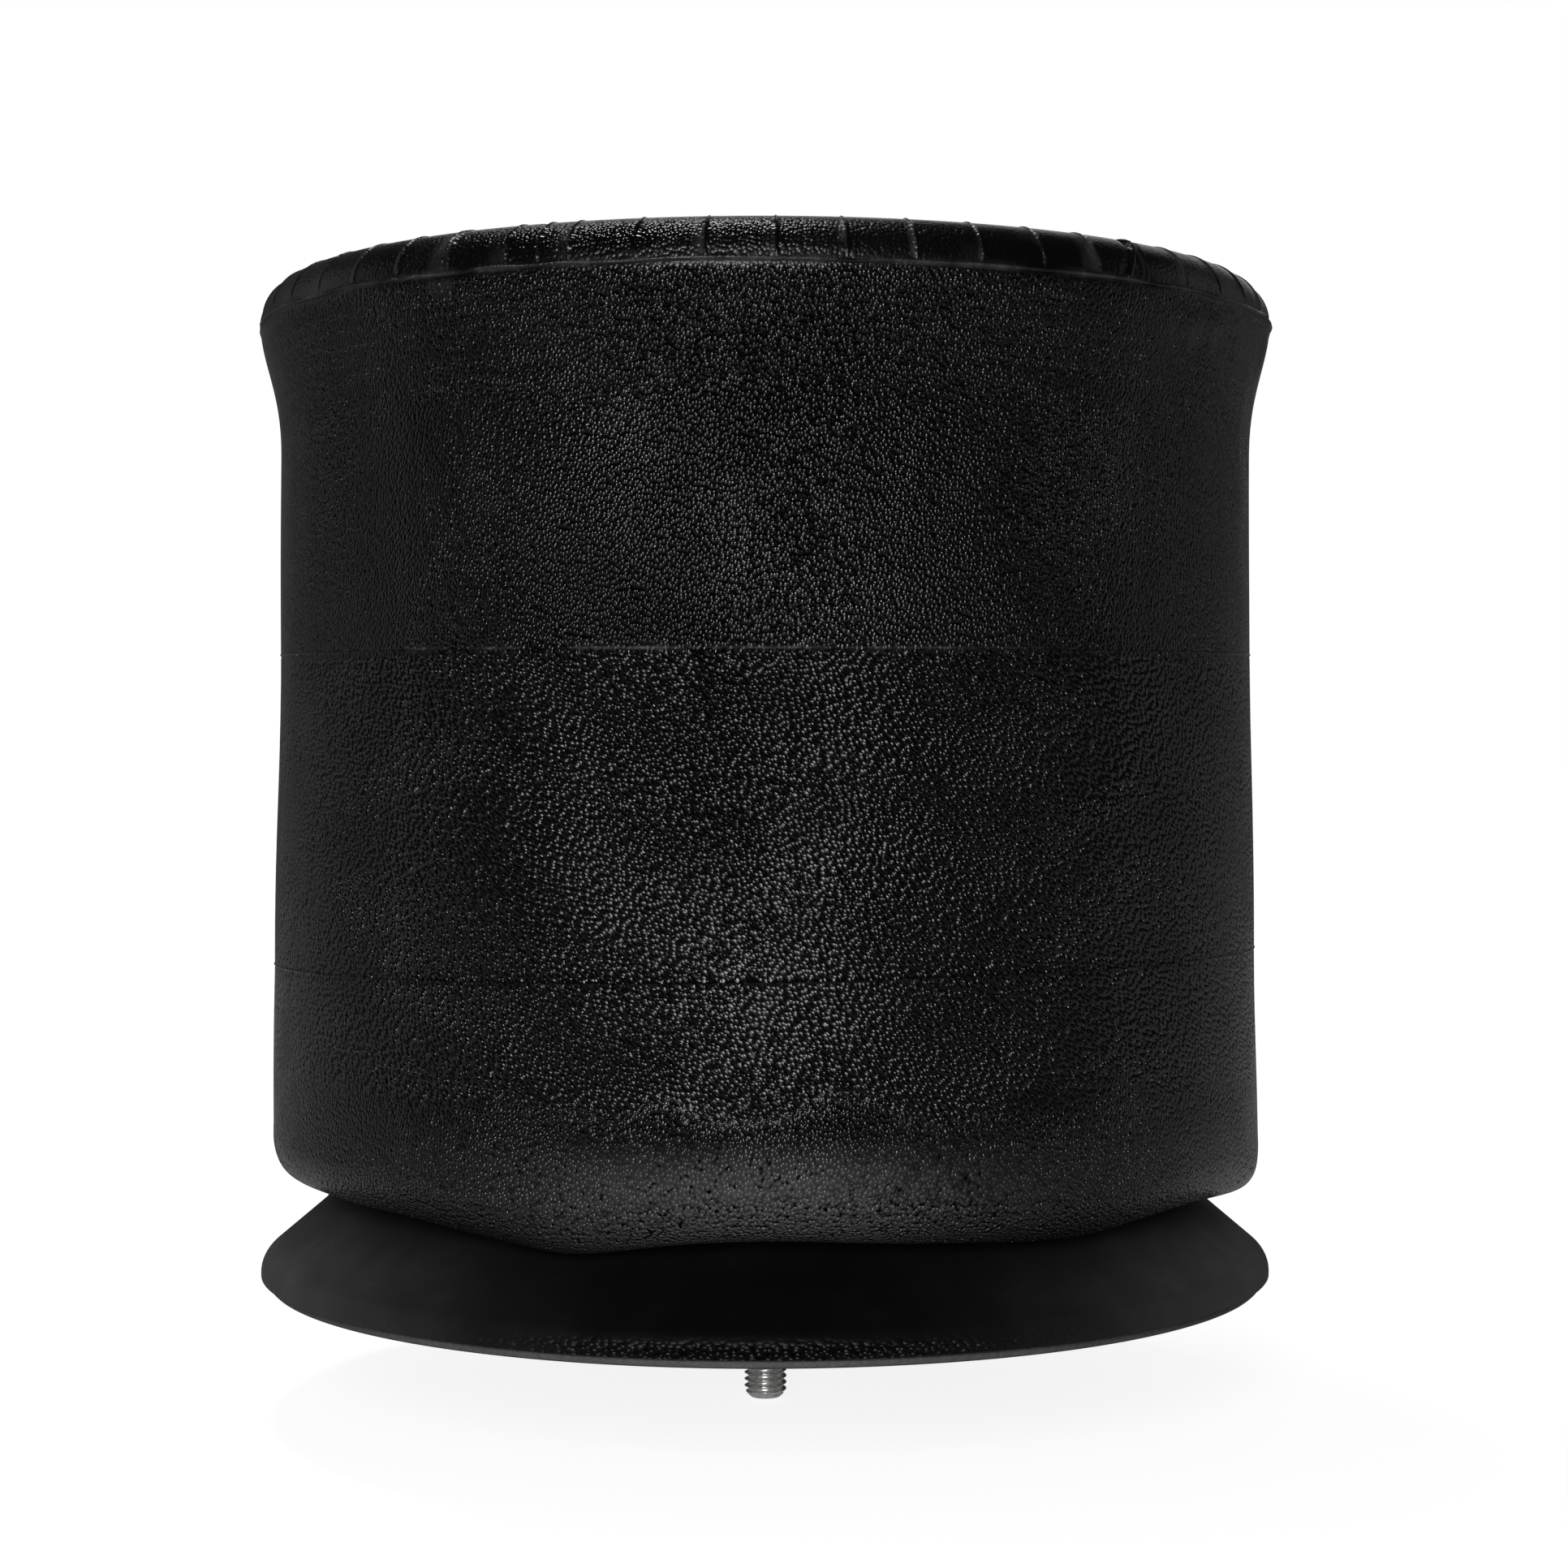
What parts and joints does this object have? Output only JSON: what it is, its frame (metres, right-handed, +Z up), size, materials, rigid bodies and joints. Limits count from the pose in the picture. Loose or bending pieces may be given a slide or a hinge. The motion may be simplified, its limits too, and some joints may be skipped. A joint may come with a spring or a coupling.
{
  "type": "air suspension spring",
  "caption": "Rolling-lobe air spring: a rubber bellows hangs from a crimped bead plate and rolls down over a flared piston held by one long bolt, shown at its lowest height.",
  "frame": {"origin": "centre of the piston's seating plane, where the base plate meets the axle bracket, on the spring's own axis", "axes": "+Z up the spring's axis from the piston to the bead plate; +X through the right blind nut; +Y through the air port"},
  "size_m": [0.3024, 0.3024, 0.3385],
  "materials": {
    "bellows_rubber": "moulded black rubber with a fine pebbled grain and a slight sheen",
    "buffer_rubber": "matt black rubber",
    "seal_rubber": "smooth black rubber",
    "piston_paint": "satin black paint, dusty at the rim",
    "closure_paint": "black paint",
    "base_plate_paint": "black paint over pressed steel, worn dull grey along its edge",
    "bead_plate_steel": "dull zinc-plated steel with a rolled rim",
    "bolt_steel": "bright zinc-plated threaded steel",
    "zinc_steel": "zinc-plated steel",
    "inner_steel": "bare steel",
    "plug_brass": "machined brass"
  },
  "bodies": {
    "piston": {"piston_shell": "piston_paint", "piston_base_plate": "base_plate_paint", "piston_bolt": "bolt_steel", "piston_nut": "zinc_steel", "nut_washer": "zinc_steel", "hub_sleeve": "inner_steel", "deck_washer": "zinc_steel", "end_closure": "closure_paint", "closure_seal": "seal_rubber", "lower_bead_wire": "inner_steel", "bump_stop": "buffer_rubber", "bump_stop_insert": "inner_steel", "head_washer": "zinc_steel"},
    "upper": {"bead_plate": "bead_plate_steel", "upper_bead_wire": "inner_steel", "blind_nut_left": "zinc_steel", "blind_nut_right": "zinc_steel", "air_port_boss": "zinc_steel", "port_plug": "plug_brass", "port_plug_seal": "seal_rubber"},
    "bellows_lobe": {"bellows": "bellows_rubber"}
  },
  "joints": [
    {"name": "travel", "type": "slide", "parent": "piston", "child": "upper", "axis": [0, 0, 1], "range_m": [0, 0.22], "deforming": ["bellows"]},
    {"name": "lobe_roll", "type": "slide", "parent": "piston", "child": "bellows_lobe", "axis": [0, 0, 1], "range_m": [0, 0.11]}
  ],
  "couplings": [
    {"joint": "lobe_roll", "follows": "travel", "ratio": 0.5}
  ]
}
